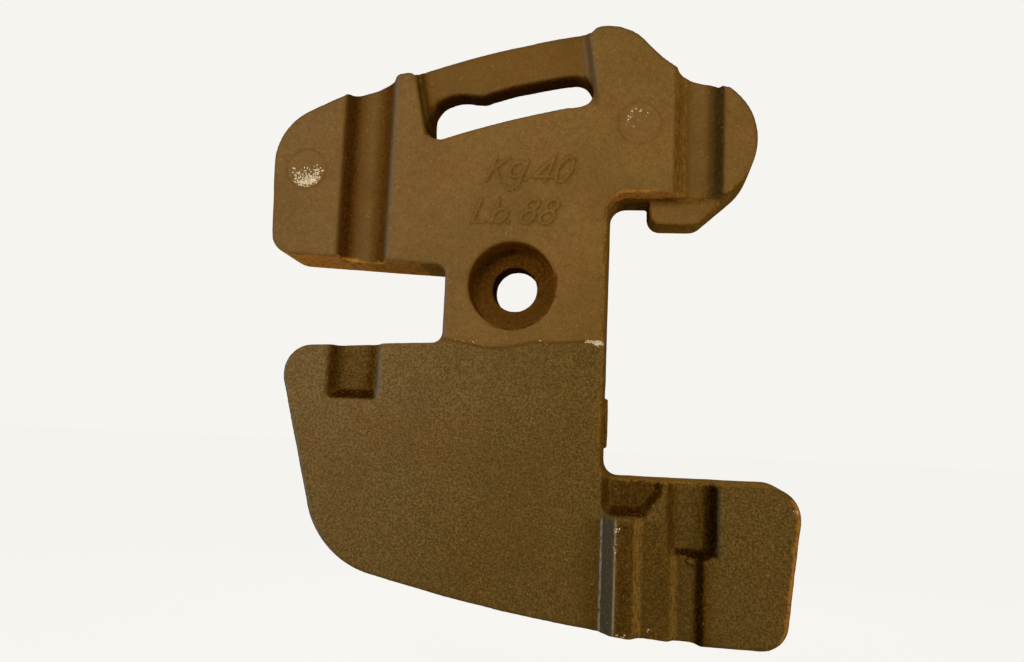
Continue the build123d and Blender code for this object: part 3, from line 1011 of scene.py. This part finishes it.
def base_paint(n, tex):
    """Paint with fine grain, coarser on the rough block, greyer to the left and browner to the right; on
    the block it gets darker to the right and bottom, partly as painted shade.
    """
    fine = n.ramp(n.weighted(tex.grain, tex.sand, fine_weights), *fine_range)
    coarse = n.ramp(n.weighted(tex.grain, tex.grit, coarse_weights), *coarse_range)
    plate = n.mix(tex.brown, n.mix(fine, *left_paint), n.mix(fine, *right_paint))
    block = n.mix(tex.brown, n.mix(coarse, *left_block), n.mix(coarse, *right_block))
    paint = n.mix(tex.rough, plate, block)
    paint = n.mix(n.times(n.ramp(tex.blotch, *blotch_range), blotch_share), paint, blotch_paint)
    paint = n.mix(n.times(n.ramp(tex.mottle, *mottle_range), mottle_share), paint, mottle_paint)
    paint = n.tint(n.times(n.ramp(tex.tint, *warm_range), tint_share), paint, warm_tint)
    return n.tint(n.times(n.ramp(tex.tint, *cool_range), tint_share), paint, cool_tint)


def add_dirt_and_shade(n, tex, paint):
    """Dirt and painted shade in corners, channels and recesses, with crumbs, pits and painted deep shade;
    also gives the share of dirt and painted shade.
    """
    # Painted shade: ambient occlusion darkens the paint in corners and recesses
    shade = n.add("ShaderNodeAmbientOcclusion", samples=occlusion_shade_samples)
    shade.inputs["Distance"].default_value = occlusion_shade_reach
    occlusion_shade = n.times(n.ramp(shade.outputs["AO"], *occlusion_shade_range), occlusion_shade_share)
    sandy = n.ramp(tex.sand, *patchy_sand_range)
    grainy = n.ramp(tex.grain, *patchy_grain_range)
    patchy = n.plus(n.weighted(sandy, grainy, patchy_weights), patchy_base)
    dirt_and_shade = n.largest(occlusion_shade, n.times(n.attribute("dirt_and_shade"), patchy))
    # Dirt and painted shade in concave corners, from the turn of the surface
    dirt_and_shade = n.largest(dirt_and_shade, n.times(n.attribute("corner"), corner_shade_share))
    # Dirt and painted shade tint the paint, from thin to thick
    paint = n.tint(n.ramp(dirt_and_shade, *thin_dirt_and_shade_range), paint, thin_dirt_and_shade_tint)
    paint = n.tint(dirt_and_shade, paint, dirt_and_shade_tint)
    paint = n.tint(n.ramp(dirt_and_shade, *thick_dirt_and_shade_range), paint, thick_dirt_and_shade_tint)
    # Lightens and warms the painted shade on the nut seat's wall
    paint = n.tint(n.attribute("warm"), paint, seat_wall_tint)
    paint = n.mix(n.times(n.ramp(tex.grit, *crumb_range), dirt_and_shade, crumb_share), paint, crumb_paint)
    paint = n.tint(n.times(n.ramp(tex.grit, *pit_range), dirt_and_shade, pit_share), paint, pit_tint)
    # Painted deep shade: the darkest walls of channels, pockets and the throat turn near black
    return n.tint(n.times(n.attribute("deep_shade"), patchy), paint, deep_shade_tint), dirt_and_shade


def add_rust_and_warm_light(n, tex, paint):
    """Rust on walls, in streaks along Z, and along worn outer edges; on faces turned right, down and up it
    also stands for painted warm light.
    """
    stretch = n.add("ShaderNodeVectorMath", operation="MULTIPLY")
    stretch.inputs[1].default_value = streak_stretch
    n.link(tex.place, stretch.inputs[0])
    streak = n.noise(stretch.outputs["Vector"], *streak_noise)
    grain = n.ramp(n.weighted(tex.grain, streak, rust_weights), *rust_range)
    patches = n.ramp(n.weighted(tex.sand, streak, rust_patch_weights), *rust_patch_range)
    rusty = n.times(n.attribute("rust_and_warm_light"), patches)
    # Rust and fresh rust, which also stand for painted warm light where the zones turn faces right, down
    # and up
    paint = n.mix(n.times(rusty, rust_and_warm_light_share), paint, n.mix(grain, *rust_and_warm_light_paint))
    paint = n.mix(n.times(n.attribute("fresh_rust_and_warm_light"), n.ramp(tex.sand, *fresh_range)), paint, fresh_rust_and_warm_light_colour)
    worn = n.times(n.attribute("edge"), n.ramp(tex.mottle, *worn_range))
    return n.mix(n.times(worn, worn_share), paint, worn_edge)


def add_rubbing_and_sheen(n, tex, paint):
    """Walls and the toe's rail rubbed by the next weight with a painted sheen, painted sheen on lips, and
    painted highlights along the rail.
    """
    # Rubbed iron with a painted sheen on the toe rail's ramp
    rubbed_and_sheen = n.times(n.attribute("rubbed_and_sheen"), n.ramp(tex.mottle, *rubbed_and_sheen_range))
    paint = n.mix(n.times(rubbed_and_sheen, rubbed_and_sheen_share), paint, rubbed_iron_and_sheen)
    # Painted sheen on lips turned left and forward
    paint = n.mix(n.times(n.attribute("lip_sheen"), n.ramp(tex.sand, *lip_sheen_range)), paint, lip_sheen_colour)
    split = n.add("ShaderNodeSeparateXYZ")
    n.link(tex.place, split.inputs["Vector"])
    # Painted highlights: bright lines along both edges of the rail's ramp
    for line_x, half_width in rail_highlights:
        away = n.math("ABSOLUTE", n.math("SUBTRACT", split.outputs["X"], line_x * MM), 0)
        line = n.ramp(away, *(half_width * edge * MM for edge in rail_highlight_edge))
        line = n.times(line, n.attribute("rail"), n.ramp(tex.sand, *rail_highlight_range))
        paint = n.mix(n.times(line, rail_highlight_share), paint, rail_highlight_colour)
    return paint


def add_sand(n, tex, paint, dirt_and_shade):
    """Pale grains of sand on the paint."""
    far, pick = n.cells(tex.place, speck_size)
    specks = n.times(n.ramp(far, *speck_edge), n.ramp(pick, *speck_picked))
    specks = n.times(specks, n.ramp(tex.mottle, *speck_range), n.ramp(dirt_and_shade, *speck_clean))
    paint = n.mix(n.times(specks, speck_share), paint, speck_sand)
    flecks = n.ramp(tex.fleck, *fleck_range)
    flecks = n.times(flecks, n.plus(n.times(tex.rough, block_fleck_share), fleck_share))
    return n.mix(n.times(flecks, n.ramp(dirt_and_shade, *fleck_clean)), paint, fleck_sand)


def add_bare_iron(n, tex, paint):
    """Bare grains, or a whole bare patch, where the paint has come off."""
    far, pick = n.cells(tex.place, bare_grain_size)
    bare = n.attribute("bare")
    kept = n.plus(pick, n.times(tex.sand, bare_sand_weight))
    lost = n.ramp(n.math("SUBTRACT", kept, n.times(bare, bare_weight)), *bare_picked)
    lost = n.times(lost, n.ramp(far, *bare_grain_edge), n.ramp(bare, *bare_range))
    whole = n.ramp(n.plus(bare, n.times(tex.sand, whole_sand_weight)), *whole_range)
    return n.mix(n.largest(lost, whole), paint, n.mix(pick, *bare_iron))


def iron_material():
    """Thin dark paint on sand-cast iron, with dirt, rust, rubbed walls and bare grains, and painted shade,
    sheen, highlights and warm light.
    """
    material = bpy.data.materials.new("painted_cast_iron")
    n = Nodes(material)
    place = n.add("ShaderNodeTexCoord").outputs["Object"]
    tex = SimpleNamespace(place=place, rough=n.attribute("rough"), brown=n.attribute("brown"))
    for name, settings in noises.items():
        setattr(tex, name, n.noise(place, *settings))
    paint, dirt_and_shade = add_dirt_and_shade(n, tex, base_paint(n, tex))
    paint = add_rust_and_warm_light(n, tex, paint)
    paint = add_rubbing_and_sheen(n, tex, paint)
    paint = add_sand(n, tex, paint, dirt_and_shade)
    paint = add_bare_iron(n, tex, paint)

    sand = n.plus(n.times(tex.rough, block_sand_height), sand_height)
    bump = n.add("ShaderNodeBump")
    bump.inputs["Strength"].default_value = bump_strength
    bump.inputs["Distance"].default_value = bump_height
    n.link(n.plus(n.times(tex.grain, grain_height), n.times(tex.sand, sand)), bump.inputs["Height"])

    shader = n.add("ShaderNodeBsdfPrincipled")
    shader.inputs["Roughness"].default_value = paint_roughness
    shader.inputs["Specular IOR Level"].default_value = 0.0
    n.link(paint, shader.inputs["Base Color"])
    n.link(bump.outputs["Normal"], shader.inputs["Normal"])
    output = n.add("ShaderNodeOutputMaterial")
    n.link(shader.outputs["BSDF"], output.inputs["Surface"])
    return material


def area_lamp(name, place, aim, size, power, colour):
    """A soft lamp that the camera doesn't see; place, aim and size in millimetres."""
    lamp = bpy.data.lights.new(name, "AREA")
    lamp.shape = "RECTANGLE"
    lamp.size, lamp.size_y = (side * MM for side in size)
    lamp.energy = power
    lamp.color = colour
    holder = bpy.data.objects.new(name, lamp)
    bpy.context.scene.collection.objects.link(holder)
    holder.location = Vector(place) * MM
    holder.rotation_euler = (Vector(aim) * MM - holder.location).to_track_quat("-Z", "Y").to_euler()
    holder.visible_camera = False


def seen_rays(n):
    """1 for camera, glossy and transmission rays, which show the plain background."""
    path = n.add("ShaderNodeLightPath").outputs
    seen = n.largest(path["Is Camera Ray"], path["Is Glossy Ray"])
    return n.largest(seen, path["Is Transmission Ray"])


def make_stage(low_z):
    """Pale floor and world, with the photograph's background colour; low_z is the part's lowest Z."""
    bpy.ops.mesh.primitive_plane_add(size=floor_size, location=(0, 0, low_z - floor_drop))
    floor = bpy.context.object
    floor.name = "floor"
    material = bpy.data.materials.new("floor_pale")
    n = Nodes(material)
    lit = n.add("ShaderNodeBsdfDiffuse")
    lit.inputs["Color"].default_value = (*background, 1)
    flat = n.add("ShaderNodeEmission")
    flat.inputs["Color"].default_value = (*background, 1)
    flat.inputs["Strength"].default_value = floor_flat_strength
    share = n.add("ShaderNodeMixShader")
    n.link(n.times(seen_rays(n), floor_flat_share), share.inputs["Fac"])
    n.link(lit.outputs["BSDF"], share.inputs[1])
    n.link(flat.outputs["Emission"], share.inputs[2])
    output = n.add("ShaderNodeOutputMaterial")
    n.link(share.outputs["Shader"], output.inputs["Surface"])
    floor.data.materials.append(material)

    world = bpy.data.worlds.new("studio")
    bpy.context.scene.world = world
    n = Nodes(world)
    fill = n.add("ShaderNodeBackground")
    fill.inputs["Color"].default_value = (*fill_colour, 1)
    fill.inputs["Strength"].default_value = fill_strength
    plain = n.add("ShaderNodeBackground")
    plain.inputs["Color"].default_value = (*background, 1)
    share = n.add("ShaderNodeMixShader")
    n.link(seen_rays(n), share.inputs["Fac"])
    n.link(fill.outputs["Background"], share.inputs[1])
    n.link(plain.outputs["Background"], share.inputs[2])
    output = n.add("ShaderNodeOutputWorld")
    n.link(share.outputs["Shader"], output.inputs["Surface"])


def make_camera():
    """The photograph's camera."""
    lens = bpy.data.cameras.new("camera")
    lens.lens = lens.sensor_width * focal_in_widths
    holder = bpy.data.objects.new("camera", lens)
    bpy.context.scene.collection.objects.link(holder)
    holder.location = camera_place
    holder.rotation_mode = "QUATERNION"
    aim = (camera_target - camera_place).to_track_quat("-Z", "Y")
    holder.rotation_quaternion = aim @ Quaternion((0, 0, 1), camera_roll)
    lens.clip_start = nearest_seen
    bpy.context.scene.camera = holder


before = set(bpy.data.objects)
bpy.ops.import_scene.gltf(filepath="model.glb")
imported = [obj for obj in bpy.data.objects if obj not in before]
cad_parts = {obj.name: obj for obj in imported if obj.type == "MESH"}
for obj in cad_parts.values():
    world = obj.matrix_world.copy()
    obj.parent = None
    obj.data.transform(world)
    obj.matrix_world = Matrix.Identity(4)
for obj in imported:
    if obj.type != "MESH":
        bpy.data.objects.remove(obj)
cad_box = [list(corner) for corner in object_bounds()]
bpy.context.scene.view_settings.view_transform = "Standard"

skin = make_casting(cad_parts["weight_casting"])
mark_wear_and_light(skin)
skin.data.materials.append(iron_material())
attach(skin, "root")
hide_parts("weight_casting")

make_stage(cad_box[0][2])
make_camera()
for lamp in lamps:
    area_lamp(*lamp)
